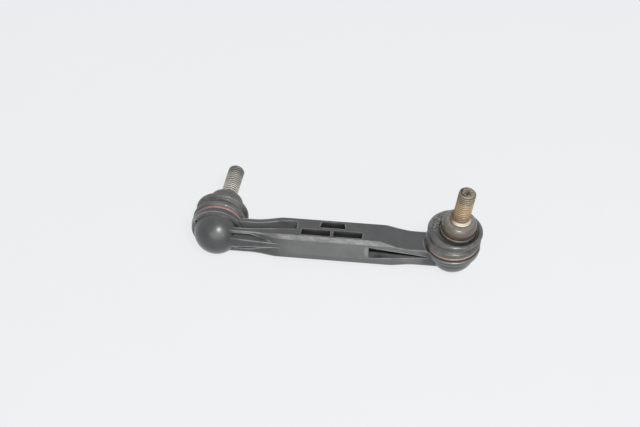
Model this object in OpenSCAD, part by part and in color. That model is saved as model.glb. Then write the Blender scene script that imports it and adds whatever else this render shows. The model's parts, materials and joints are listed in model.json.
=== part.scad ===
// Stabilizer link: moulded H-beam with a ball joint at each end, the two joints a quarter turn apart.
// Millimetres, +X from the left ball to the right ball, +Y along the left socket, +Z along the right.

/* [Beam] */
// Distance between the two ball centres
ball_span = 141; // [132:1:160]
// Width and height of the square middle of the beam
beam_w = 17.2; // [16:0.1:18.4]
// Depth of the beam at its thin necks, on the smooth side of the centre line
neck_near = 5.2; // [4.6:0.1:6]
// Depth of the beam at its thin necks, on the ribbed side of the centre line
neck_far = 6.4; // [5.6:0.1:7.2]
// Thickness of the web in the middle of the H-section
web_t = 3; // [2:0.1:4.8]
// Chamfer along the two worn long edges
edge_chamfer = 2.1; // [1.2:0.1:3]
// Distance from the middle to the square end of each channel
channel_start = 21.8; // [20.2:0.1:23.6]
// Depth of the pockets in the middle of the beam
pocket_depth = 5.3; // [2:0.1:6]
// Width of each pocket
pocket_w = 5.1; // [3.8:0.1:5.7]
// Height of the stiffening rib where it meets the socket
rib_h = 7.4; // [5:0.2:9]
// Depth of the flutes beside the rib, below the face of the neck
flute_depth = 1.5; // [0.6:0.1:2]

/* [Socket] */
// Diameter of the ball
ball_d = 14.4; // [13.4:0.1:15.4]
// Wall of the bearing shell round the ball
seat_wall = 1.7; // [1.3:0.1:2.2]
// Running gap between the ball and its shell
ball_gap = 0.15; // [0.1:0.01:0.25]
// Wall of the closed dome outside the bearing shell
dome_wall = 4.4; // [3.4:0.1:5.4]
// Wall of the socket neck outside the locking ring
neck_wall = 2; // [1.5:0.05:2.8]
// Width of the rim that stands out round the neck, under the foot of the boot
rim_w = 4.1; // [3.6:0.05:5]

/* [Stud] */
// Outer diameter of the thread
thread_d = 10; // [8:1:12]
// Length of the thread from the shoulder to the tip
thread_len = 22.3; // [16:0.1:34]
// Width of the shoulder outside the thread, which clamps against the bracket
shoulder_w = 1.1; // [1:0.1:2.6]
// Step from the shoulder down to the stud inside the boot collar
collar_step = 0.8; // [0.4:0.1:1.2]
// Diameter of the neck behind the ball
neck_d = 8; // [7:0.1:8.4]
// Size of the star socket in the tip, across its points
star_d = 5.5; // [3:0.1:6]
// Depth of the star socket in the tip
star_depth = 3; // [1:0.2:6]

/* [Boot] */
// Wall of the foot of the boot, round the socket neck
foot_wall = 1.4; // [1.1:0.1:1.9]
// Thickness of the clamp ring round the foot
clamp_t = 1.4; // [1:0.1:1.8]
// Stand-out of the lower bulge from the foot
bulge_out = 2.65; // [2:0.05:3.4]
// Stand-out of the upper roll from the foot
roll_out = 2.55; // [2:0.05:4]
// Wall of the boot collar that grips the stud
collar_wall = 4.75; // [4:0.05:5.2]
// Thickness of the spring wire round the collar
wire_d = 1.5; // [1:0.1:1.6]

/* [Pose] */
// Lean of the left stud from the axis of its socket
left_tilt = 9.4; // [0:0.1:15]
// Side to which the left stud leans, from +X towards +Z
left_side = 61.5; // [0:0.5:360]
// Lean of the right stud from the axis of its socket
right_tilt = 9.6; // [0:0.1:15]
// Side to which the right stud leans, from +X towards -Y
right_side = 41.3; // [0:0.1:360]

/* [Hidden] */
$fn = 64;

// Clearance of pieces that sit in each other, and the small overlap that a cut needs
fit = 0.15;
eps = 0.01;

// Beam
half_w = beam_w / 2;
flat_step = 0.4;
edge_round = 0.6;
beam_drop = 0.3;
near_from = 25;
near_to = 47.5;
far_from = 28;
far_to = 50;
socket_overlap = 6;
beam_end = ball_span / 2 - socket_overlap;
curve_steps = 14;
channel_flange = 3.2;
channel_far = 1;
channel_neck = 3.3;
slot_near = 4.8;
slot_far = 3.5;
slot_tip_w = 0.6;
slot_end_gap = 14;
slot_tip = ball_span / 2 - slot_end_gap;
pocket_mid = -0.6;
pocket_gap = 2;
pocket_long = 17.1;
pocket_short = 15.2;
pocket_draft = 1;
spine_near = 1.7;
spine_far = 0.3;
rib_from = 24;
rib_tip_h = 2.4;
rib_rise = 0.6;
flute_from = 30;
flute_full = 49;
flute_h = 12;
flute_floor = neck_far - flute_depth;
room_gap = 0.5;

// Socket, heights along its axis from the ball centre
seat_open = 3.2;
seat_r = ball_d / 2 + ball_gap + seat_wall;
seat_top = ball_d / 2 - seat_open;
cavity_r = seat_r + fit;
dome_r = cavity_r + dome_wall;
ring_step = 0.9;
ring_t = 2.75;
ring_w = 2;
ring_r = seat_r + ring_step;
ring_bore = ring_r - ring_w;
ring_low = seat_top + fit;
neck_r = ring_r + fit + neck_wall;
neck_top = ring_low + ring_t;
neck_h = 2.9;
neck_chamfer = 0.8;
rim_r = neck_r + rim_w;
rim_top = neck_top - neck_h;
rim_low = 0.6;
rim_draft = 0.6;
rim_chamfer = 0.4;
gate_d = 2.2;
gate_deep = 1.8;
gate_angle = 208;

// Stud
neck_end = 10;
seat_from = 14;
shoulder_t = 1;
shoulder_top = 28.2;
shoulder_low = shoulder_top - shoulder_t;
shoulder_chamfer = 0.4;
shoulder_r = thread_d / 2 + shoulder_w;
collar_seat_r = shoulder_r - collar_step;
tip = shoulder_top + thread_len;
tip_chamfer = 1.2;
star_core = 0.72 * star_d;
star_lobe = 0.28 * star_d;

// Boot
segments = 48;
wall = 1.6;
foot_low = rim_top + fit;
foot_top = neck_top - 2 * fit;
foot_bore = neck_r + fit;
foot_r = foot_bore + foot_wall;
clamp_rise = 0.75;
clamp_chamfer = 0.4;
clamp_low = foot_low + clamp_rise;
clamp_top = foot_top - fit;
clamp_r = foot_r + fit + clamp_t;
bulge_tube = 2.4;
bulge_h = 8.8;
bulge_r = foot_r + bulge_out;
collar_bore = collar_seat_r + fit;
collar_r = collar_bore + collar_wall;
collar_top = shoulder_low - fit;
collar_skirt = 1.4;
cap_h = 3.6;
cap_flat = 1;
groove_depth = 1.45;
groove_low = 17.8;
groove_r = collar_r - groove_depth;
groove_top = groove_low + wire_d + 2 * fit;
collar_low = groove_low - collar_skirt;
wire_r = groove_r + fit + wire_d / 2;
roll_gap = 0.3;
roll_r = foot_r + roll_out;
roll_h = 16;
roll_rise = 2;
valley_h = 12.8;
roll_tube = (roll_r - wire_r - wire_d / 2 - roll_gap) / 2;
bend_low = foot_top + 2 * fit;
barrel_share = 0.45;
roll_edge = 0.8;
follow_rise = 3;

// Middle of the ball centre line, over an origin under the middle of the part's box
widest = max(rim_r, clamp_r, bulge_r, roll_r);
left_sway = roll_h * sin(barrel_share * left_tilt);
right_sway = roll_h * sin(barrel_share * right_tilt);
left_reach = max(widest, roll_r - left_sway * cos(left_side));
right_reach = max(widest, roll_r + right_sway * cos(right_side));
front_reach = max(widest, roll_r + right_sway * sin(right_side));
low_reach = max(widest, roll_r - left_sway * sin(left_side));
tip_reach = tip * cos(left_tilt) + (thread_d / 2 - tip_chamfer) * sin(left_tilt);
origin = [(left_reach - right_reach) / 2, (front_reach - tip_reach) / 2, low_reach];

function lerp(a, b, t) = a + (b - a) * min(1, max(0, t));
function ease(t) = (1 - cos(180 * min(1, max(0, t)))) / 2;
function arc(c, w, h, from, to, n) =
    [for (i = [0:n]) let (a = from + (to - from) * i / n) [c[0] + w * cos(a), c[1] + h * sin(a)]];

// Depth of the beam on each side of its centre line, at a distance u from the middle
function near_edge(u) = lerp(half_w, neck_near, ease((u - near_from) / (near_to - near_from)));
function far_edge(u) = lerp(half_w, neck_far, ease((u - far_from) / (far_to - far_from)));
function flat_edge(u) = half_w - flat_step * ease((u - far_from) / (far_to - far_from));

// Turn that swaps the two ends of the beam
module swap_ends() {
    rotate(a = 180, v = [0, 1, 1]) children();
}

module left_place() {
    translate(origin + [-ball_span / 2, 0, 0]) rotate([-90, 0, 0]) children();
}

module right_place() {
    translate(origin + [ball_span / 2, 0, 0]) children();
}

module lean(tilt, side) {
    rotate(a = tilt, v = [sin(side), cos(side), 0]) children();
}

// Outline of the beam from above: the left half necks down, the right half keeps its width
module beam_outline() {
    curve = [for (i = [0:curve_steps]) lerp(min(near_from, far_from), max(near_to, far_to), i / curve_steps)];
    stations = concat(curve, [beam_end]);
    last = len(stations) - 1;
    near_side = concat([for (i = [last:-1:0]) [-stations[i], near_edge(stations[i])]],
                       [for (u = stations) [u, flat_edge(u)]]);
    far_side = concat([for (i = [last:-1:0]) [stations[i], -flat_edge(stations[i])]],
                      [for (u = stations) [-u, -far_edge(u)]]);
    polygon(concat(near_side, far_side));
}

module beam_plate() {
    translate([0, 0, -half_w]) linear_extrude(height = beam_w) beam_outline();
}

module beam_section() {
    a = half_w;
    c = edge_chamfer;
    e = edge_round;
    rotate([90, 0, 90])
        linear_extrude(height = 2 * beam_end, center = true)
            polygon([[-a, a - c], [-a + c, a], [a - e, a], [a, a - e],
                     [a, -a + c], [a - c, -a], [-a + e, -a], [-a, -a + e]]);
}

// Open channel between the flanges of one arm, ending square at the middle of the beam
module arm_channel() {
    steps = [for (i = [0:curve_steps]) lerp(channel_start, beam_end, i / curve_steps)];
    near_side = [for (u = steps) [-u, near_edge(u) - channel_flange]];
    far_side = [for (i = [curve_steps:-1:0])
        [-steps[i], -lerp(channel_far, channel_neck, (steps[i] - channel_start) / (far_to - channel_start))]];
    translate([0, 0, web_t / 2])
        linear_extrude(height = half_w) polygon(concat(near_side, far_side));
}

// Wedge-shaped slot on the other face of the same arm
module arm_slot() {
    translate([0, 0, -web_t / 2 - half_w])
        linear_extrude(height = half_w)
            polygon([[-channel_start, slot_near], [-slot_tip, slot_tip_w / 2], [-slot_tip, -slot_tip_w / 2],
                     [-channel_start, -slot_far]]);
}

// Stiffening rib that grows out of the flat face towards the socket
module arm_rib() {
    rotate([90, 0, 0])
        linear_extrude(height = half_w)
            translate([0, rib_rise])
                polygon([[-rib_from, rib_tip_h / 2], [-rib_from, -rib_tip_h / 2],
                         [-beam_end, -rib_h / 2], [-beam_end, rib_h / 2]]);
}

// Flutes above and below the rib, which run out towards the middle of the beam
module arm_flutes() {
    translate([0, -flute_floor, 0])
        rotate([90, 0, 0])
            linear_extrude(height = half_w)
                translate([0, rib_rise])
                    polygon([[-flute_from, 0], [-flute_full, flute_h / 2], [-beam_end - eps, flute_h / 2],
                             [-beam_end - eps, -flute_h / 2], [-flute_full, -flute_h / 2]]);
}

// Pockets that lighten the middle of the beam
module pockets() {
    translate([pocket_mid, 0, half_w - pocket_depth])
        linear_extrude(height = half_w) {
            for (side = [-1, 1])
                translate([side * (pocket_gap + pocket_long) / 2, -spine_far - pocket_w / 2])
                    square([pocket_long, pocket_w], center = true);
            translate([0, spine_near])
                polygon([[-pocket_short / 2, 0], [pocket_short / 2, 0],
                         [pocket_short / 2 - pocket_draft, pocket_w],
                         [-pocket_short / 2 + pocket_draft, pocket_w]]);
        }
}

// Room round each socket for the foot of its boot
module boot_room() {
    translate([-ball_span / 2, rim_top, 0])
        rotate([-90, 0, 0]) cylinder(r = widest + room_gap, h = beam_w);
}

module beam() {
    difference() {
        intersection() {
            beam_plate();
            swap_ends() beam_plate();
            beam_section();
        }
        arm_channel();
        swap_ends() arm_channel();
        arm_slot();
        swap_ends() arm_slot();
        arm_flutes();
        swap_ends() arm_flutes();
        pockets();
        mirror([0, 0, 1]) pockets();
    }
    arm_rib();
    swap_ends() arm_rib();
}

module socket_outside() {
    rotate_extrude() {
        intersection() {
            circle(r = dome_r);
            translate([0, -dome_r]) square([dome_r, dome_r + rim_low + eps]);
        }
        polygon([[0, rim_low], [rim_r - rim_draft, rim_low], [rim_r, rim_top - rim_chamfer],
                 [rim_r - rim_chamfer, rim_top], [neck_r, rim_top], [neck_r, neck_top - neck_chamfer],
                 [neck_r - neck_chamfer, neck_top], [0, neck_top]]);
    }
}

module socket_inside() {
    sphere(r = cavity_r);
    cylinder(r = cavity_r, h = ring_low);
    translate([0, 0, ring_low]) cylinder(r = ring_r + fit, h = neck_top);
}

// Gate mark that the mould leaves under the left rim
module gate_mark() {
    rotate([0, 0, gate_angle])
        translate([dome_r, 0, rim_low + gate_deep - gate_d]) cylinder(d = gate_d, h = gate_d);
}

module link_body() {
    color("#2b2c2e")
        difference() {
            union() {
                translate(origin)
                    difference() {
                        translate([0, -beam_drop, -beam_drop]) beam();
                        boot_room();
                        swap_ends() boot_room();
                    }
                left_place() socket_outside();
                right_place() socket_outside();
            }
            left_place() socket_inside();
            left_place() gate_mark();
            right_place() socket_inside();
        }
}

// Bearing shell that wraps the ball past its equator
module ball_seat() {
    color("#d8d4c8")
        difference() {
            union() {
                sphere(r = seat_r);
                cylinder(r = seat_r, h = seat_top);
            }
            sphere(r = ball_d / 2 + ball_gap);
            translate([0, 0, seat_top]) cylinder(r = 2 * seat_r, h = 2 * seat_r);
        }
}

// Locking ring that closes the socket over the shell
module retaining_ring() {
    color("#3a3b3d")
        translate([0, 0, ring_low])
            difference() {
                cylinder(r = ring_r, h = ring_t);
                translate([0, 0, -eps]) cylinder(r = ring_bore, h = ring_t + 2 * eps);
            }
}

module clamp_ring() {
    color("#b9696f")
        rotate_extrude()
            polygon([[foot_r + fit, clamp_low], [clamp_r - clamp_chamfer, clamp_low],
                     [clamp_r, clamp_low + clamp_chamfer], [clamp_r, clamp_top - clamp_chamfer],
                     [clamp_r - clamp_chamfer, clamp_top], [foot_r + fit, clamp_top]]);
}

module collar_ring() {
    color("#6d655c")
        rotate_extrude() translate([wire_r, (groove_low + groove_top) / 2]) circle(d = wire_d);
}

module star() {
    circle(d = star_core);
    for (i = [0:5]) rotate(60 * i) translate([star_core / 2, 0]) circle(d = star_lobe);
}

module ball_stud() {
    color("#9a938a")
        difference() {
            union() {
                sphere(d = ball_d);
                rotate_extrude()
                    polygon([[0, 0], [neck_d / 2, 0], [neck_d / 2, neck_end],
                             [collar_seat_r, seat_from], [collar_seat_r, shoulder_low],
                             [shoulder_r - shoulder_chamfer, shoulder_low],
                             [shoulder_r, shoulder_low + shoulder_chamfer],
                             [shoulder_r, shoulder_top], [thread_d / 2, shoulder_top],
                             [thread_d / 2, tip - tip_chamfer], [thread_d / 2 - tip_chamfer, tip],
                             [0, tip]]);
            }
            translate([0, 0, tip - star_depth]) linear_extrude(height = 2 * star_depth) star();
        }
}

// Cross-section of the boot, up the outside and down the inside
function boot_profile() =
    let (roll_c = [roll_r - roll_tube, roll_h],
         bulge_c = [bulge_r - bulge_tube, bulge_h])
    concat([[foot_bore, foot_low], [foot_r, foot_low], [foot_r, foot_top]],
           arc(bulge_c, bulge_tube, bulge_tube, -50, 70, 7),
           arc(roll_c, roll_tube, roll_rise, -75, 160, 13),
           [[groove_r, groove_low], [groove_r, groove_top], [collar_r, groove_top]],
           [for (a = [6:14:90]) [lerp(collar_bore + cap_flat, collar_r, cos(a)),
                                 lerp(collar_top - cap_h, collar_top, sin(a))]],
           [[collar_bore, collar_top], [collar_bore, collar_low]],
           arc(roll_c, roll_tube - wall, roll_rise - wall, 190, -90, 8),
           [[roll_c[0] + roll_tube * cos(75) - wall, valley_h]],
           arc(bulge_c, bulge_tube - wall, bulge_tube - wall, 90, -60, 4),
           [[foot_bore, bend_low]]);

// Share of the stud's lean that a point of the boot follows: a little in the barrel, all in the collar
function follow(r, h) =
    lerp(barrel_share * ease((h - bend_low) / (roll_h - bend_low)), 1,
         ease((roll_r - roll_edge - r) / (roll_r - roll_edge - collar_r))
         * ease((h - bulge_h) / follow_rise));

// A point of the boot turned about the ball centre with the leaning stud
function bent(r, h, a, tilt, side) =
    let (t = tilt * follow(r, h),
         along = r * cos(a - side),
         across = r * sin(a - side),
         x = along * cos(t) + h * sin(t),
         z = h * cos(t) - along * sin(t))
    [x * cos(side) - across * sin(side), x * sin(side) + across * cos(side), z];

module boot(tilt, side) {
    profile = boot_profile();
    n = len(profile);
    points = [for (p = profile) for (j = [0:segments - 1]) bent(p[0], p[1], 360 * j / segments, tilt, side)];
    faces = [for (i = [0:n - 1]) for (j = [0:segments - 1])
        let (k = (i + 1) % n,
             m = (j + 1) % segments,
             a = i * segments + j,
             b = i * segments + m,
             c = k * segments + m,
             d = k * segments + j)
        each [[a, c, b], [a, d, c]]];
    color("#57503f") polyhedron(points = points, faces = faces, convexity = 6);
}

module left_ball_seat() { left_place() ball_seat(); }
module left_retaining_ring() { left_place() retaining_ring(); }
module left_clamp_ring() { left_place() clamp_ring(); }
module left_boot() { left_place() boot(left_tilt, -left_side); }
module left_collar_ring() { left_place() lean(left_tilt, left_side) collar_ring(); }
module left_ball_stud() { left_place() lean(left_tilt, left_side) ball_stud(); }

module right_ball_seat() { right_place() ball_seat(); }
module right_retaining_ring() { right_place() retaining_ring(); }
module right_clamp_ring() { right_place() clamp_ring(); }
module right_boot() { right_place() boot(right_tilt, -right_side); }
module right_collar_ring() { right_place() lean(right_tilt, right_side) collar_ring(); }
module right_ball_stud() { right_place() lean(right_tilt, right_side) ball_stud(); }

link_body();
left_ball_seat();
left_retaining_ring();
left_clamp_ring();
left_boot();
left_collar_ring();
left_ball_stud();
right_ball_seat();
right_retaining_ring();
right_clamp_ring();
right_boot();
right_collar_ring();
right_ball_stud();
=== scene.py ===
"""Looks of the stabilizer link: worn plastic body, dusty rubber boots and rusty threaded studs."""

import json
import math

import bpy
from mathutils import Matrix, Vector


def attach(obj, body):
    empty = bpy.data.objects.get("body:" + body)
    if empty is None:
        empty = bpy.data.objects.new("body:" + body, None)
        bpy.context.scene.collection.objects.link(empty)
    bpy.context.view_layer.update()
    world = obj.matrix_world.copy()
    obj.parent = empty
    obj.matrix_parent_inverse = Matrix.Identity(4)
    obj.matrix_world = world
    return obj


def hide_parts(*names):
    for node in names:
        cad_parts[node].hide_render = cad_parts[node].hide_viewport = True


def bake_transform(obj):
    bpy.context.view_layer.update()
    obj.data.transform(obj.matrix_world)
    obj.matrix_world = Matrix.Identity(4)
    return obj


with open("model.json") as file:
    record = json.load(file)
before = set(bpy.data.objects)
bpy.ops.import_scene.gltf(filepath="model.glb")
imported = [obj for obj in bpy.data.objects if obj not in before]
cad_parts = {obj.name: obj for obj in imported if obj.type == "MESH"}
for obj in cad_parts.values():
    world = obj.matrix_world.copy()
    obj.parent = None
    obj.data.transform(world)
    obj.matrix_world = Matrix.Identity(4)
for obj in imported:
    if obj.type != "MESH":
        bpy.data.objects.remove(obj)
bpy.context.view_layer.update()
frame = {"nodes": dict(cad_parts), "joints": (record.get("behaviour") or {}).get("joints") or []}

MM = 0.001
SIDES = ("left", "right")
UP, FRONT, FRONT_EDGE = (0, 0, 1), (0, -1, 0), (0, -1, 1)

# Places that the frame gives: each ball centre, the axis of its socket, the axis of its stud and
# the axis that the stud leans about
joints = {joint["name"]: joint for joint in frame["joints"]}
BALL = {side: Vector(joints[f"{side}_swing"]["pos_m"]) for side in SIDES}
SOCKET = {side: Vector(joints[f"{side}_swing"]["axis"]) for side in SIDES}
STUD = {side: Vector(joints[f"{side}_spin"]["axis"]) for side in SIDES}
HINGE = {side: Vector(joints[f"{side}_tilt"]["axis"]) for side in SIDES}
MIDDLE = (BALL["left"] + BALL["right"]) / 2

# Boot sizes in millimetres, heights along the axis from the ball centre
FOOT_BORE, FOOT_R, FOOT_LOW, FOOT_TOP = 12.25, 13.65, 4.15, 6.6
BULGE_R, BULGE_TUBE, BULGE_H = 16.26, 2.4, 8.8
ROLL_R, ROLL_TUBE, ROLL_RISE, ROLL_H = 16.16, 2.75, 2.0, 16.0
VALLEY_R, VALLEY_H = 12.6, 12.8
WALL, LIP = 1.6, 0.3
COLLAR_R, COLLAR_BORE, COLLAR_LOW, COLLAR_TOP = 10.2, 5.45, 16.4, 27.05
CAP_H, CAP_FLAT = 3.6, 1.0
GROOVE_R, GROOVE_LOW, GROOVE_TOP = 8.75, 17.8, 19.6
BEAD_R, BEAD_H, BEAD_TUBE = 11.4, 17.3, 0.55
HEM_R, TUCK = 10.3, 0.15
ROLL_CENTRE, ROLL_CREST = (ROLL_R - ROLL_TUBE, ROLL_H), ROLL_H + ROLL_RISE

# Arcs of the boot's cross-section: first and last angle in degrees, and number of steps
BULGE_OUTSIDE, BULGE_INSIDE = (-50, 70, 18), (90, -60, 8)
ROLL_OUTSIDE, ROLL_INSIDE = (-75, 90, 27), (90, -90, 6)
ROLL_SLOPE, ROLL_UNDERSIDE = (90, 112, 5), (190, 90, 4)
BEAD_ARC, CAP_ARC = (60, 140, 4), (6, 90, 10)
CREST_ANGLE, CREST_OVERLAP = 90, 10

# How the boot follows the stud: heights between which its barrel bends, the barrel's share of the lean,
# how far inside the roll the collar takes over, and where the bend of a moved stud starts and ends
BEND_LOW, BARREL_SHARE, ROLL_EDGE, FOLLOW_RISE = 6.9, 0.45, 0.8, 3.0

# Stud sizes in millimetres
BALL_R, NECK_R, NECK_END, SEAT_R, SEAT_FROM = 7.2, 3.7, 10.0, 5.3, 14.0
POLE_R = 0.2
SHOULDER_R, SHOULDER_LOW, SHOULDER_TOP = 6.1, 27.2, 28.2
TIP, TIP_CHAMFER = 50.5, 1.2
PITCH, ROOT_R, CREST_R, RUN_OUT = 1.5, 4.15, 4.98, 1.2
ROOT_FLAT, FLANK = 0.16, 0.66
STAR_R, STAR_WAVE, STAR_LOBES, STAR_DEEP = 2.02, 0.62, 6, 2.9
# Rows of the star socket: share of its size, depth below the tip, and brightness as of a thread's tooth
STAR_ROWS = ((1.18, 0.0, 0.8), (1.0, 0.12, 0.6), (0.94, STAR_DEEP, 0.3), (0.3, STAR_DEEP, 0.3))
# Brightness of the parts without a thread, and the height that the star's rows pass to the material
PLAIN_TOOTH, STAR_ZONE = 0.5, TIP + 1

# Points round the turned pieces, and rows along the ball and the thread
SKIN_POINTS, STUD_POINTS = 144, 96
BALL_ROWS, THREAD_ROWS = 14, 182


def grey(level):
    return (level, level, level)


def clamp(t):
    return min(1.0, max(0.0, t))


def ease(t):
    return (1 - math.cos(math.pi * clamp(t))) / 2


def lerp(a, b, t):
    return a + (b - a) * clamp(t)


def turn(n):
    """Angles of n points round a circle."""
    return [2 * math.pi * j / n for j in range(n)]


def arc(c, w, h, a0, a1, n):
    """Points of an elliptic arc, in degrees, in the plane of radius and height."""
    angles = [math.radians(a0 + (a1 - a0) * i / n) for i in range(n + 1)]
    return [(c[0] + w * math.cos(a), c[1] + h * math.sin(a)) for a in angles]


def bent(side, r, h, a, share):
    """A point at radius r, height h and angle a about a socket, leaning with the stud by a share."""
    lean = SOCKET[side].angle(STUD[side]) * share
    along = HINGE[side].cross(SOCKET[side])
    point = along * (r * math.cos(a)) + HINGE[side] * (r * math.sin(a)) + SOCKET[side] * h
    return BALL[side] + Matrix.Rotation(lean, 3, HINGE[side]) @ (point * MM)


def grid_piece(name, rows, values, close=False, caps=False):
    """A smooth piece from rows of points round an axis, with named float values for its material."""
    n = len(rows[0])
    faces = []
    for i in range(len(rows) if close else len(rows) - 1):
        k = (i + 1) % len(rows)
        for j in range(n):
            m = (j + 1) % n
            faces.append((i * n + j, i * n + m, k * n + m, k * n + j))
    if caps:
        faces.append(tuple(range(n - 1, -1, -1)))
        faces.append(tuple(range((len(rows) - 1) * n, len(rows) * n)))
    mesh = bpy.data.meshes.new(name)
    mesh.from_pydata([p for row in rows for p in row], [], faces)
    for key, data in values.items():
        layer = mesh.attributes.new(key, "FLOAT", "POINT")
        layer.data.foreach_set("value", [v for row in data for v in row])
    mesh.polygons.foreach_set("use_smooth", [True] * len(mesh.polygons))
    mesh.update()
    piece = bpy.data.objects.new(name, mesh)
    bpy.context.scene.collection.objects.link(piece)
    return piece


def boot_share(r, h):
    """Share of the stud's lean that a point of the boot follows."""
    barrel = BARREL_SHARE * ease((h - BEND_LOW) / (ROLL_H - BEND_LOW))
    edge = ROLL_R - ROLL_EDGE
    collar = ease((edge - r) / (edge - COLLAR_R)) * ease((h - BULGE_H) / FOLLOW_RISE)
    return lerp(barrel, 1.0, collar)


def roll_arc(span, inset=0.0):
    """Part of the boot's upper roll, or of its inside, in degrees from the outermost point."""
    return arc(ROLL_CENTRE, ROLL_TUBE - inset, ROLL_RISE - inset, *span)


def crest_hem(past):
    """Edge of one skin where it tucks under the other, some degrees past the crest of the roll."""
    angle = CREST_ANGLE + past
    return arc(ROLL_CENTRE, ROLL_TUBE, ROLL_RISE - TUCK, angle, angle, 1)[:1]


def bellows_profile():
    """Cross-section of the boot from its foot to its roll's crest, up the outside and down the inside."""
    bulge = (BULGE_R - BULGE_TUBE, BULGE_H)
    outside = [(FOOT_BORE, FOOT_LOW), (FOOT_R - LIP, FOOT_LOW), (FOOT_R, FOOT_LOW + LIP), (FOOT_R, FOOT_TOP)]
    outside += arc(bulge, BULGE_TUBE, BULGE_TUBE, *BULGE_OUTSIDE) + roll_arc(ROLL_OUTSIDE)
    outside += crest_hem(CREST_OVERLAP)
    inside = roll_arc(ROLL_INSIDE, WALL) + [(VALLEY_R, VALLEY_H)]
    inside += arc(bulge, BULGE_TUBE - WALL, BULGE_TUBE - WALL, *BULGE_INSIDE)
    return outside + inside + [(FOOT_BORE, BEND_LOW)]


def collar_profile():
    """Cross-section of the boot from its roll's crest to its top: a bead, the wire's groove, a domed cap."""
    slope = crest_hem(-CREST_OVERLAP) + roll_arc(ROLL_SLOPE)
    slope += arc((BEAD_R, BEAD_H), BEAD_TUBE, BEAD_TUBE, *BEAD_ARC) + [(HEM_R, COLLAR_LOW + 2 * LIP)]
    groove = [(GROOVE_R + LIP, GROOVE_LOW), (GROOVE_R, GROOVE_LOW + LIP), (GROOVE_R, GROOVE_TOP - LIP),
              (GROOVE_R + LIP, GROOVE_TOP), (COLLAR_R - LIP, GROOVE_TOP), (COLLAR_R, GROOVE_TOP + LIP)]
    cap = [(lerp(COLLAR_BORE + CAP_FLAT, COLLAR_R, c), lerp(COLLAR_TOP - CAP_H, COLLAR_TOP, s))
           for c, s in arc((0, 0), 1, 1, *CAP_ARC)]
    bore = [(COLLAR_BORE + LIP, COLLAR_TOP), (COLLAR_BORE, COLLAR_TOP - LIP), (COLLAR_BORE, COLLAR_LOW)]
    return slope + groove + cap + bore + roll_arc(ROLL_UNDERSIDE, WALL)


def make_skin(name, side, profile):
    """A turned piece of boot rubber, leaning with the stud by the share of each of its points."""
    n = SKIN_POINTS
    ring = turn(n)
    rows = [[bent(side, r, h, a, boot_share(r, h)) for a in ring] for r, h in profile]
    values = {"up": [[h] * n for _, h in profile], "out": [[r] * n for r, _ in profile]}
    return grid_piece(f"{side}_{name}", rows, values, close=True)


def thread_radius(h, a):
    """Radius of the thread at a height and angle, and how near its crest that is."""
    phase = (h / PITCH - a / (2 * math.pi)) % 1.0
    tooth = clamp((1 - abs(2 * phase - 1) - ROOT_FLAT) / FLANK)
    depth = (CREST_R - ROOT_R) * ease((h - SHOULDER_TOP) / RUN_OUT)
    limit = CREST_R - max(0.0, h - (TIP - TIP_CHAMFER))
    return min(limit, ROOT_R + depth * tooth), tooth


def make_stud(side):
    """The ball, neck and shoulder of a stud, its helical thread and the star socket in its tip."""
    n = STUD_POINTS
    ring = turn(n)
    rows, up, tooth = [], [], []

    def add(radii, h, teeth, zone):
        rows.append([bent(side, r, h, a, 1.0) for r, a in zip(radii, ring)])
        up.append([zone] * n)
        tooth.append(teeth)

    neck_from = math.sqrt(BALL_R ** 2 - NECK_R ** 2)
    heights = [lerp(-BALL_R, neck_from, i / BALL_ROWS) for i in range(BALL_ROWS + 1)]
    plain = [(max(POLE_R, math.sqrt(max(0.0, BALL_R ** 2 - h * h))), h) for h in heights]
    plain += [(NECK_R, NECK_END), (SEAT_R, SEAT_FROM), (SEAT_R, SHOULDER_LOW),
              (SHOULDER_R - LIP, SHOULDER_LOW), (SHOULDER_R, SHOULDER_LOW + LIP),
              (SHOULDER_R, SHOULDER_TOP - LIP), (SHOULDER_R - LIP, SHOULDER_TOP), (ROOT_R, SHOULDER_TOP)]
    for r, h in plain:
        add([r] * n, h, [PLAIN_TOOTH] * n, h)
    for i in range(1, THREAD_ROWS + 1):
        h = lerp(SHOULDER_TOP, TIP, i / THREAD_ROWS)
        pairs = [thread_radius(h, a) for a in ring]
        add([r for r, _ in pairs], h, [t for _, t in pairs], h)
    star = [STAR_R + STAR_WAVE * math.cos(STAR_LOBES * a) for a in ring]
    for size, drop, shade in STAR_ROWS:
        add([r * size for r in star], TIP - drop, [shade] * n, STAR_ZONE - drop)
    return grid_piece(f"{side}_threaded_stud", rows, {"up": up, "tooth": tooth}, caps=True)


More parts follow.
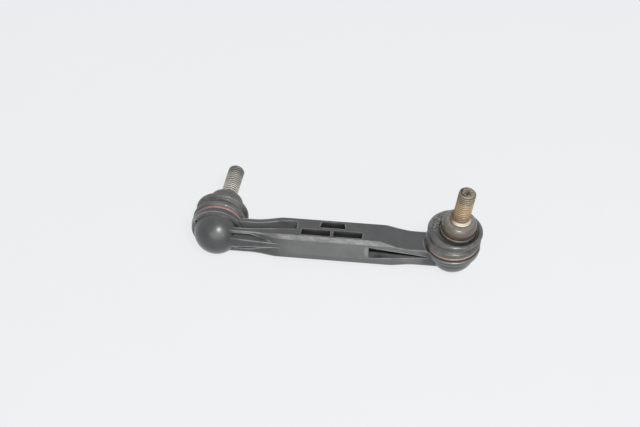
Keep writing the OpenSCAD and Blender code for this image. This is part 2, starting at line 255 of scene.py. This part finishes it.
class Shader:
    """A material being wired: most methods add a node or a few and give back an output."""

    AO_SAMPLES, BUMP_STRENGTH, SPOT_CORE = 8, 0.2, 0.4

    def __init__(self, name):
        self.mat = bpy.data.materials.new(name)
        self.mat.use_nodes = True
        self.tree = self.mat.node_tree
        self.bsdf = self.tree.nodes["Principled BSDF"]

    def put(self, socket, value):
        """Link an output to a socket, or set the socket's own value."""
        if isinstance(value, bpy.types.NodeSocket):
            self.tree.links.new(value, socket)
        elif socket.type == "RGBA":
            socket.default_value = (*value, 1.0)
        else:
            socket.default_value = value

    def node(self, kind, *numbered, **named):
        """A new node, with its inputs by place and then by name."""
        made = self.tree.nodes.new(kind)
        for i, value in enumerate(numbered):
            self.put(made.inputs[i], value)
        for key, value in named.items():
            self.put(made.inputs[key], value)
        return made

    def vector(self, operation, a, b=(0, 0, 0)):
        made = self.node("ShaderNodeVectorMath", a, b)
        made.operation = operation
        return made.outputs["Value" if operation in ("DOT_PRODUCT", "LENGTH") else "Vector"]

    def math(self, operation, a, b=0.0):
        made = self.node("ShaderNodeMath", a, b)
        made.operation = operation
        return made.outputs[0]

    def times(self, *factors):
        total = factors[0]
        for factor in factors[1:]:
            total = self.math("MULTIPLY", total, factor)
        return total

    def most(self, *values):
        total = values[0]
        for value in values[1:]:
            total = self.math("MAXIMUM", total, value)
        return total

    def mm(self, origin=(0, 0, 0)):
        """Place on the part in millimetres, from an origin in metres."""
        coord = self.tree.nodes.new("ShaderNodeTexCoord").outputs["Object"]
        return self.vector("MULTIPLY", self.vector("SUBTRACT", coord, origin), (1 / MM, 1 / MM, 1 / MM))

    def axes(self, vector):
        return self.node("ShaderNodeSeparateXYZ", vector).outputs

    def noise(self, vector, scale, detail=4.0, rough=0.6):
        made = self.node("ShaderNodeTexNoise", Vector=vector, Scale=scale, Detail=detail, Roughness=rough)
        return made.outputs["Fac"]

    def ramp(self, value, low, high, to_low=0.0, to_high=1.0):
        made = self.tree.nodes.new("ShaderNodeMapRange")
        made.interpolation_type = "SMOOTHSTEP"
        for i, v in enumerate((value, low, high, to_low, to_high)):
            self.put(made.inputs[i], v)
        return made.outputs["Result"]

    def mix(self, fac, a, b):
        made = self.tree.nodes.new("ShaderNodeMix")
        made.data_type = "RGBA"
        for i, v in ((0, fac), (6, a), (7, b)):
            self.put(made.inputs[i], v)
        return made.outputs[2]

    def attribute(self, name):
        made = self.tree.nodes.new("ShaderNodeAttribute")
        made.attribute_name = name
        return made.outputs["Fac"]

    def facing(self, direction):
        """How far the surface faces a direction, from -1 to 1."""
        normal = self.tree.nodes.new("ShaderNodeNewGeometry").outputs["Normal"]
        return self.vector("DOT_PRODUCT", normal, Vector(direction).normalized())

    def spot(self, place, centre, size):
        """One at a place of the part and nought outside its size, both in millimetres."""
        away = self.vector("MULTIPLY", self.vector("SUBTRACT", place, centre), [1 / v for v in size])
        return self.ramp(self.vector("LENGTH", away), 1.0, self.SPOT_CORE)

    def openness(self, reach, inside=False):
        """Nought where the piece itself is near on every side, one where nothing is within the reach."""
        made = self.node("ShaderNodeAmbientOcclusion", Distance=reach * MM)
        made.samples = self.AO_SAMPLES
        made.only_local = True
        made.inside = inside
        return made.outputs["AO"]

    def bump(self, height, depth):
        """Relief from a height, its depth in millimetres."""
        made = self.node("ShaderNodeBump", Height=height, Strength=self.BUMP_STRENGTH, Distance=depth * MM)
        self.put(self.bsdf.inputs["Normal"], made.outputs[0])

    def finish(self, base, rough, metal=0.0, spec=0.5, coat=0.0, coat_rough=0.17):
        self.put(self.bsdf.inputs["Base Color"], base)
        self.put(self.bsdf.inputs["Roughness"], rough)
        self.put(self.bsdf.inputs["Metallic"], metal)
        self.put(self.bsdf.inputs["Specular IOR Level"], spec)
        self.put(self.bsdf.inputs["Coat Weight"], coat)
        self.put(self.bsdf.inputs["Coat Roughness"], coat_rough)
        return self.mat


# Where the body's tones change, in millimetres from the middle of the beam: each pair of values runs from
# no effect to the full one
ARM_LEFT, ARM_RIGHT = (-39.6, -21.6), (56.4, 50.4)
STRIP_LEFT, STRIP_RIGHT, STRIP_RISE = (-35.6, -27.6), (25.4, 22.4), (6.0, 7.3)
STRIP_SLANT = 2.2
SKIRT = (-4.7, -5.4)
WEAR_GLINT_LEFT, WEAR_GLINT_RIGHT = (-19.6, -31.6), (20.4, 32.4)
LEDGE_FROM, LEDGE_LOW, LEDGE_HIGH = (50.4, 54.4), (3.3, 3.8), (4.9, 4.5)
SHADE_LEFT, SHADE_RIGHT = (-25.6, -21.6), (18.4, 20.4)
SLOT_FROM, CHANNEL_FROM, CHANNEL_BACK = (20.4, 22.4), (-19.6, -21.6), (0.0, 1.0)
# The slot's roof shades its floor from a depth that follows the slot's taper
SLOT_END, SLOT_TAPER, SLOT_LIT = 21.8, 0.149, (-2.92, -3.72)
# Reach in millimetres within which edges wear and recesses darken
EDGE_REACH, RECESS_REACH = 1.2, 7.0
# Marks of the body: a light patch by the slot, a scratch on the left arm and the dark notch by the left rim,
# each with its centre and size in millimetres from the middle of the beam, its strength and its tone
BODY_MARKS = (((20.4, -8.88, 1.0), (1.7, 2.5, 5.5), 0.6, (0.24, 0.24, 0.23)),
              ((-46.4, -8.88, 7.1), (0.9, 2.0, 1.4), 1.0, grey(0.5)),
              ((-82.5, 0.62, 5.5), (1.5, 3.0, 1.5), 1.0, grey(0.01)))
PLASTIC = (grey(0.017), grey(0.033))
FRONT_LIT_PLASTIC = ((0.087, 0.088, 0.086), (0.112, 0.112, 0.109))
RUBBED_SHEEN_PLASTIC = ((0.085, 0.085, 0.083), (0.18, 0.178, 0.172))
MOTTLE_TONE, SKIRT_SHADE_TONE, WEAR_GLINT_TONE, STREAK_TONE = grey(0.15), grey(0.045), grey(0.36), grey(0.2)
LEDGE_LIGHT_TONE, RECESS_SHADE_TONE = (0.2, 0.187, 0.175), (0.008, 0.008, 0.009)
SLOT_SHADOW_TONE, RECESS_LIGHT_TONE = grey(0.006), grey(0.15)


def body_material():
    """Dark moulded plastic: painted light on the front, worn edges with painted highlights, painted shade in
    recesses and painted light on some of their floors.
    """
    s = Shader("body_plastic")
    p, place = s.mm(), s.mm(MIDDLE)
    x, y, z = s.axes(place)
    cloud = s.noise(p, 0.09, 5.0, 0.65)
    mottle = s.noise(p, 0.9)
    streak = s.noise(s.vector("MULTIPLY", p, (0.12, 2.6, 2.6)), 1.0, 3.0)
    rubbed = s.noise(s.vector("MULTIPLY", p, (0.25, 0.7, 0.7)), 1.0)
    grain = s.noise(p, 5.0, 3.0)
    cloudy = s.ramp(cloud, 0.35, 0.68)
    upward = s.facing(UP)
    top, front = s.ramp(upward, 0.6, 0.95), s.ramp(s.facing(FRONT), 0.6, 0.95)
    # Painted light on the faces toward the front between the sockets, and a soft mottle all over
    arms = s.times(s.ramp(x, *ARM_LEFT), s.ramp(x, *ARM_RIGHT))
    front_light = s.times(s.ramp(s.facing(FRONT), 0.55, 0.95), arms)
    base = s.mix(front_light, s.mix(cloudy, *PLASTIC), s.mix(cloudy, *FRONT_LIT_PLASTIC))
    base = s.mix(s.times(s.ramp(mottle, 0.55, 0.8), 0.25), base, MOTTLE_TONE)
    # Worn strip along the long edge with a painted sheen that is brightest at its upper edge, ending on a
    # slant towards the right socket
    slant = s.math("ADD", s.times(s.math("ADD", y, z), STRIP_SLANT), x)
    strip = s.times(s.ramp(s.facing(FRONT_EDGE), 0.86, 0.985), s.ramp(slant, *STRIP_RIGHT),
                    s.ramp(x, *STRIP_LEFT))
    worn = s.mix(s.ramp(rubbed, 0.35, 0.65), *RUBBED_SHEEN_PLASTIC)
    base = s.mix(s.times(strip, s.ramp(z, *STRIP_RISE, 0.5, 1.0)), base, worn)
    # Painted shade on the lower band of the arms, which faces slightly down
    base = s.mix(s.times(s.ramp(z, *SKIRT), arms, 0.45), base, SKIRT_SHADE_TONE)
    # Wear and painted highlights on the edges, most of them towards the sockets
    patchy = s.ramp(cloud, 0.35, 0.55, 0.3, 1.0)
    worn_lit_edges = s.times(s.ramp(s.openness(EDGE_REACH, inside=True), 0.92, 0.6), patchy)
    toward_sockets = s.most(s.ramp(x, *WEAR_GLINT_LEFT, 0.3, 0.85), s.ramp(x, *WEAR_GLINT_RIGHT, 0.3, 0.5))
    base = s.mix(s.times(worn_lit_edges, toward_sockets), base, WEAR_GLINT_TONE)
    # Painted light on the up-facing ledge round the right socket, lifting the shade under its clamp ring
    ledge = s.times(s.ramp(x, *LEDGE_FROM), s.ramp(z, *LEDGE_LOW), s.ramp(z, *LEDGE_HIGH))
    base = s.mix(s.times(ledge, s.ramp(upward, 0.3, 0.8), 0.3), base, LEDGE_LIGHT_TONE)
    base = s.mix(s.times(s.ramp(streak, 0.64, 0.72), 0.2), base, STREAK_TONE)
    for centre, size, strength, tone in BODY_MARKS:
        base = s.mix(s.times(s.spot(place, centre, size), strength), base, tone)
    # Painted shade in recesses, less so on their floors and on the arms
    room = s.openness(RECESS_REACH)
    shade = s.times(s.ramp(room, 0.85, 0.2), s.ramp(upward, 0.2, 0.9, 0.8, 0.35),
                    s.ramp(x, *SHADE_LEFT, 0.15, 1.0), s.ramp(x, *SHADE_RIGHT, 1.0, 0.3))
    base = s.mix(shade, base, RECESS_SHADE_TONE)
    # Painted shadow of the roof on the deep part of the slot
    depth = s.math("ADD", y, s.times(s.math("SUBTRACT", x, SLOT_END), SLOT_TAPER))
    in_slot, in_channel = s.ramp(x, *SLOT_FROM), s.ramp(x, *CHANNEL_FROM)
    slot_shadow = s.times(s.most(top, front), in_slot, s.ramp(depth, *SLOT_LIT[::-1]), s.ramp(room, 0.9, 0.5))
    base = s.mix(slot_shadow, base, SLOT_SHADOW_TONE)
    # Painted light on the slot's floor, the channel's far wall and the flutes' floors
    slot_floor = s.times(top, in_slot, s.ramp(depth, *SLOT_LIT))
    far_wall = s.times(front, in_channel, s.ramp(y, *CHANNEL_BACK))
    flute_floor = s.times(top, in_channel, 0.7)
    recess_light = s.times(s.most(slot_floor, far_wall, flute_floor), s.ramp(room, 0.97, 0.65))
    base = s.mix(recess_light, base, RECESS_LIGHT_TONE)
    s.bump(s.math("ADD", s.times(grain, 0.5), s.times(streak, 0.4)), 0.1)
    return s.finish(base, s.ramp(cloud, 0.2, 0.8, 0.36, 0.43), spec=0.6, coat=0.75, coat_rough=0.28)


# Rubber of each boot: dark and dusty tones, the cap's tone, and the lowest roughness
RUBBER = {"left": ((0.058, 0.058, 0.053), (0.118, 0.115, 0.103), (0.1, 0.093, 0.077), 0.42),
          "right": ((0.044, 0.043, 0.041), (0.098, 0.094, 0.085), (0.104, 0.08, 0.06), 0.27)}
CROWN_TONE, FOOT_LIGHT_TONE = (0.27, 0.255, 0.225), (0.2, 0.17, 0.155)
FOLD_SHADE_TONE, SPECK_TONE = grey(0.03), (0.3, 0.28, 0.24)
# Heights and radii in millimetres that bound the cap, its dusty crown, the foot and the fold under the collar
CAP_FROM, CAP_WITHIN, CROWN_WITHIN = (19.2, 20.0), (10.9, 10.3), (9.4, 7.4)
FOOT_BELOW = (FOOT_TOP, FOOT_TOP - 1.0)
FOLD_FROM, FOLD_WITHIN, FOLD_BELOW = (ROLL_H, ROLL_H + 1.2), (14.4, 13.2), (19.4, 19.0)
# A stain on the left boot and pale flecks on the right one: centre from the ball and size, in millimetres,
# and tone
STAIN_AT, STAIN_SIZE, STAIN_TONE = (-3.0, 14.02, 12.6), (6.0, 3.0, 5.0), (0.045, 0.03, 0.04)
FLECKS_AT, FLECKS_SIZE, FLECKS_TONE = (-9.6, 4.72, 17.7), (7.0, 13.0, 5.0), (0.5, 0.5, 0.48)


def rubber_material(side):
    """Dusty rubber of one boot, with painted shade in its fold and painted light on its foot, and brown on
    its cap.
    """
    s = Shader(f"{side}_boot_rubber")
    p, place = s.mm(), s.mm(BALL[side])
    up, out = s.attribute("up"), s.attribute("out")
    cloud = s.noise(p, 0.14, 5.0, 0.65)
    specks = s.noise(p, 2.2, 4.0, 0.7)
    dark, dusty, cap, gloss = RUBBER[side]
    base = s.mix(s.ramp(cloud, 0.36, 0.7), dark, dusty)
    on_cap = s.times(s.ramp(up, *CAP_FROM), s.ramp(out, *CAP_WITHIN))
    base = s.mix(s.times(on_cap, 0.85), base, cap)
    crown = s.times(on_cap, s.ramp(s.facing(STUD[side]), 0.6, 0.95), s.ramp(specks, 0.35, 0.6))
    base = s.mix(s.times(crown, s.ramp(out, *CROWN_WITHIN), 0.8), base, CROWN_TONE)
    # Painted light on the foot, lifting the shade between the clamp ring and the rim
    base = s.mix(s.ramp(up, *FOOT_BELOW), base, FOOT_LIGHT_TONE)
    # Painted shade in the fold under the collar
    fold_shade = s.times(s.ramp(up, *FOLD_FROM), s.ramp(out, *FOLD_WITHIN), s.ramp(up, *FOLD_BELOW))
    base = s.mix(s.times(fold_shade, 0.55), base, FOLD_SHADE_TONE)
    base = s.mix(s.times(s.ramp(specks, 0.6, 0.78), 0.35), base, SPECK_TONE)
    if side == "left":
        base = s.mix(s.times(s.spot(place, STAIN_AT, STAIN_SIZE), 0.6), base, STAIN_TONE)
    else:
        flecks = s.times(s.spot(place, FLECKS_AT, FLECKS_SIZE), s.ramp(s.noise(p, 1.1), 0.56, 0.62))
        base = s.mix(flecks, base, FLECKS_TONE)
    s.bump(s.math("ADD", specks, s.times(cloud, 1.5)), 0.25)
    return s.finish(base, s.ramp(cloud, 0.3, 0.7, gloss, gloss + 0.12), spec=0.6, coat=0.35)


# Steel of each stud: tones of the lower and upper thread, of the thread's roots, the tip and the shoulder,
# and the heights in millimetres between which the lower tone turns into the upper one
STEEL = {"left": ((0.62, 0.6, 0.54), (0.42, 0.41, 0.36), (0.04, 0.038, 0.033), (0.22, 0.217, 0.2),
                  (0.5, 0.48, 0.44), (33.0, 40.0)),
         "right": ((0.26, 0.175, 0.1), (0.44, 0.315, 0.185), (0.03, 0.018, 0.01), (0.24, 0.21, 0.16),
                   (0.6, 0.53, 0.42), (31.0, 37.0))}
RUST_SPECK, RUSTY_SHOULDER = (0.45, 0.38, 0.29), (0.16, 0.11, 0.07)
TIP_FROM = (42.5, 46.0)
SHOULDER_FROM, SHOULDER_BELOW = (SHOULDER_LOW - 0.4, SHOULDER_LOW), (SHOULDER_TOP + 0.8, SHOULDER_TOP + 0.1)
# The shoulder is pale towards this direction, from a distance in millimetres that the specks spread
PALE_SIDE, PALE_FROM, PALE_SPREAD = (0.45, -0.9, 0), (6.5, 12.0), 6.0


def stud_material(side):
    """Steel of one stud, darker in the roots of its thread and deep in its star socket, and dull at its tip.
    """
    s = Shader(f"{side}_stud_steel")
    p, place = s.mm(), s.mm(BALL[side])
    up, tooth = s.attribute("up"), s.attribute("tooth")
    cloud = s.noise(p, 0.35, 5.0, 0.65)
    specks = s.noise(p, 2.6, 4.0, 0.7)
    low, high, root, tip, shoulder, change = STEEL[side]
    tone = s.mix(s.ramp(up, *change), low, high)
    tone = s.mix(s.times(s.ramp(up, *TIP_FROM), 0.95), tone, tip)
    tone = s.mix(s.times(s.ramp(cloud, 0.4, 0.72), 0.3), tone, root)
    tone = s.mix(s.times(s.ramp(tooth, 0.7, 0.1), 0.95), tone, root)
    tone = s.mix(s.times(s.ramp(specks, 0.6, 0.75), 0.3), tone, RUST_SPECK)
    on_shoulder = s.times(s.ramp(up, *SHOULDER_FROM), s.ramp(up, *SHOULDER_BELOW))
    pale_side = s.math("ADD", s.vector("DOT_PRODUCT", place, PALE_SIDE), s.times(specks, PALE_SPREAD))
    tone = s.mix(on_shoulder, tone, s.mix(s.ramp(pale_side, *PALE_FROM), RUSTY_SHOULDER, shoulder))
    s.bump(specks, 0.2)
    return s.finish(tone, s.ramp(specks, 0.3, 0.75, 0.48, 0.7), metal=s.ramp(cloud, 0.3, 0.75, 0.35, 0.15))


# Tone and worn tone of the smaller pieces
CLAMP_RED = {"left": ((0.42, 0.13, 0.14), (0.5, 0.28, 0.27)),
             "right": ((0.33, 0.225, 0.185), (0.3, 0.265, 0.22))}
BEARING = ((0.7, 0.67, 0.6), (0.6, 0.57, 0.5))
LOCKING = ((0.06, 0.06, 0.065), grey(0.1))
WIRE, WIRE_METAL = ((0.115, 0.1, 0.08), (0.175, 0.155, 0.125)), 0.3
DIRT_SPECK = (0.3, 0.27, 0.22)


def plain_material(name, tone, worn, metal=0.0):
    """Clouded finish of a small piece, with specks of dirt."""
    s = Shader(name)
    p = s.mm()
    cloud = s.noise(p, 0.25, 5.0, 0.65)
    specks = s.noise(p, 2.0)
    base = s.mix(s.ramp(cloud, 0.38, 0.66), tone, worn)
    base = s.mix(s.times(s.ramp(specks, 0.55, 0.8), 0.4), base, DIRT_SPECK)
    s.bump(specks, 0.2)
    return s.finish(base, s.ramp(cloud, 0.3, 0.7, 0.32, 0.55), metal=metal)


def dress(name, material):
    mesh = frame["nodes"][name].data
    mesh.materials.clear()
    mesh.materials.append(material)


# Rounds on the body's edges: width in millimetres, the angle between faces in degrees from which an edge
# is rounded, and the steps of a round
EDGE_ROUND, EDGE_ANGLE, EDGE_STEPS = 0.5, 28, 3
# Distance in millimetres and angle in degrees within which points and faces of the body are joined first
WELD_GAP, FLAT_ANGLE = 0.002, 0.6


def soften_edges(piece):
    """Small rounds on the sharp edges of a moulded piece."""
    weld = piece.modifiers.new("weld", "WELD")
    weld.merge_threshold = WELD_GAP * MM
    flat = piece.modifiers.new("flat", "DECIMATE")
    flat.decimate_type = "DISSOLVE"
    flat.angle_limit = math.radians(FLAT_ANGLE)
    soft = piece.modifiers.new("soft_edges", "BEVEL")
    soft.width = EDGE_ROUND * MM
    soft.segments = EDGE_STEPS
    soft.limit_method = "ANGLE"
    soft.angle_limit = math.radians(EDGE_ANGLE)
    soft.harden_normals = True


dress("link_body", body_material())
soften_edges(frame["nodes"]["link_body"])
for key in SIDES:
    dress(f"{key}_clamp_ring", plain_material(f"{key}_clamp_red", *CLAMP_RED[key]))
    dress(f"{key}_ball_seat", plain_material(f"{key}_bearing", *BEARING))
    dress(f"{key}_retaining_ring", plain_material(f"{key}_locking", *LOCKING))
    dress(f"{key}_collar_ring", plain_material(f"{key}_wire", *WIRE, WIRE_METAL))
    rubber = rubber_material(key)
    bellows = make_skin("boot_bellows", key, bellows_profile())
    # The bend runs along the lean of the roll's crest, so that the whole crest turns with the collar
    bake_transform(bellows)
    collar = make_skin("boot_collar", key, collar_profile())
    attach(collar, f"{key} collar")
    for skin in (bellows, collar):
        skin.data.materials.append(rubber)
        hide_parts(f"{key}_boot")
    stud = make_stud(key)
    stud.data.materials.append(stud_material(key))
    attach(stud, f"{key} stud")
    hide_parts(f"{key}_ball_stud")

# Pale floor that shows its own colour to the camera, with a faint shadow of the part
PALE = (0.872, 0.89, 0.905)
FLOOR_TONES = ((0.80, 0.815, 0.82), (0.83, 0.845, 0.85))
FLOOR_HALF, FLOOR_SHARE = 3.0, 0.88


def seen_directly(tree):
    """One where the camera, a reflection or a refraction looks, and nought for other rays."""
    path = tree.nodes.new("ShaderNodeLightPath")
    total = path.outputs["Is Camera Ray"]
    for ray in ("Is Glossy Ray", "Is Transmission Ray"):
        both = tree.nodes.new("ShaderNodeMath")
        both.operation = "MAXIMUM"
        tree.links.new(total, both.inputs[0])
        tree.links.new(path.outputs[ray], both.inputs[1])
        total = both.outputs[0]
    return total


def floor_material():
    s = Shader("floor_pale")
    grain = s.noise(s.mm(), 0.02, 3.0)
    s.finish(s.mix(s.ramp(grain, 0.3, 0.7), *FLOOR_TONES), 0.9, spec=0.0)
    glow = s.node("ShaderNodeEmission", Color=PALE, Strength=1.0)
    share = s.times(seen_directly(s.tree), FLOOR_SHARE)
    both = s.node("ShaderNodeMixShader", share, s.bsdf.outputs[0], glow.outputs[0])
    s.tree.links.new(both.outputs[0], s.tree.nodes["Material Output"].inputs["Surface"])
    return s.mat


floor_mesh = bpy.data.meshes.new("floor")
floor_mesh.from_pydata([(-FLOOR_HALF, -FLOOR_HALF, 0), (FLOOR_HALF, -FLOOR_HALF, 0),
                        (FLOOR_HALF, FLOOR_HALF, 0), (-FLOOR_HALF, FLOOR_HALF, 0)], [], [(0, 1, 2, 3)])
floor = bpy.data.objects.new("floor", floor_mesh)
bpy.context.scene.collection.objects.link(floor)
floor_mesh.materials.append(floor_material())


def make_world(sky, strength):
    """Soft light from all round, with the pale background where it is seen directly."""
    world = bpy.data.worlds.new("studio")
    world.use_nodes = True
    tree = world.node_tree
    light = tree.nodes["Background"]
    shown = tree.nodes.new("ShaderNodeBackground")
    light.inputs["Color"].default_value = (*sky, 1.0)
    light.inputs["Strength"].default_value = strength
    shown.inputs["Color"].default_value = (*PALE, 1.0)
    shown.inputs["Strength"].default_value = 1.0
    choose = tree.nodes.new("ShaderNodeMixShader")
    tree.links.new(seen_directly(tree), choose.inputs[0])
    tree.links.new(light.outputs[0], choose.inputs[1])
    tree.links.new(shown.outputs[0], choose.inputs[2])
    tree.links.new(choose.outputs[0], tree.nodes["World Output"].inputs["Surface"])
    return world


def direction(azimuth, elevation):
    """Unit vector from the part towards an azimuth from -Y to +X and an elevation, in degrees."""
    az, el = math.radians(azimuth), math.radians(elevation)
    return Vector((math.sin(az) * math.cos(el), -math.cos(az) * math.cos(el), math.sin(el)))


def lamp(name, azimuth, elevation, distance, size, watts):
    """An area lamp that looks at the middle of the part, at angles taken as for the camera."""
    data = bpy.data.lights.new(name, "AREA")
    data.shape = "RECTANGLE"
    data.size, data.size_y = size
    data.energy = watts
    made = bpy.data.objects.new(name, data)
    bpy.context.scene.collection.objects.link(made)
    toward = direction(azimuth, elevation)
    made.location = MIDDLE + toward * distance
    made.rotation_euler = toward.to_track_quat("Z", "Y").to_euler()


bpy.context.scene.world = make_world(sky=(0.97, 0.98, 1.0), strength=0.34)
lamp("front_box", azimuth=14, elevation=26, distance=1.2, size=(1.7, 0.9), watts=7.6)
lamp("flash_box", azimuth=24, elevation=51, distance=0.8, size=(0.1, 0.1), watts=3.3)

# Camera of the photograph: its angle, roll, distance, shift in the picture plane and focal length
CAM_AZ, CAM_EL, CAM_ROLL = 8.02, 42.03, math.radians(-1.16)
CAM_DIST, CAM_SIDE, CAM_RISE, CAM_NEAR = 0.744, -0.0080, 0.0159, 0.01
FOCAL_PX, PICTURE_PX, SENSOR_MM = 1250.0, 640, 36.0
toward = direction(CAM_AZ, CAM_EL)
level = Vector(UP).cross(toward).normalized()
above = toward.cross(level)
right = level * math.cos(CAM_ROLL) + above * math.sin(CAM_ROLL)
upward = above * math.cos(CAM_ROLL) - level * math.sin(CAM_ROLL)
camera = bpy.data.objects.new("camera", bpy.data.cameras.new("camera"))
bpy.context.scene.collection.objects.link(camera)
camera.matrix_world = Matrix((right, upward, toward)).transposed().to_4x4()
camera.location = MIDDLE + toward * CAM_DIST + right * CAM_SIDE + upward * CAM_RISE
camera.data.sensor_width = SENSOR_MM
camera.data.lens = FOCAL_PX / PICTURE_PX * SENSOR_MM
camera.data.clip_start = CAM_NEAR
bpy.context.scene.camera = camera
bpy.context.scene.view_settings.view_transform = "Standard"
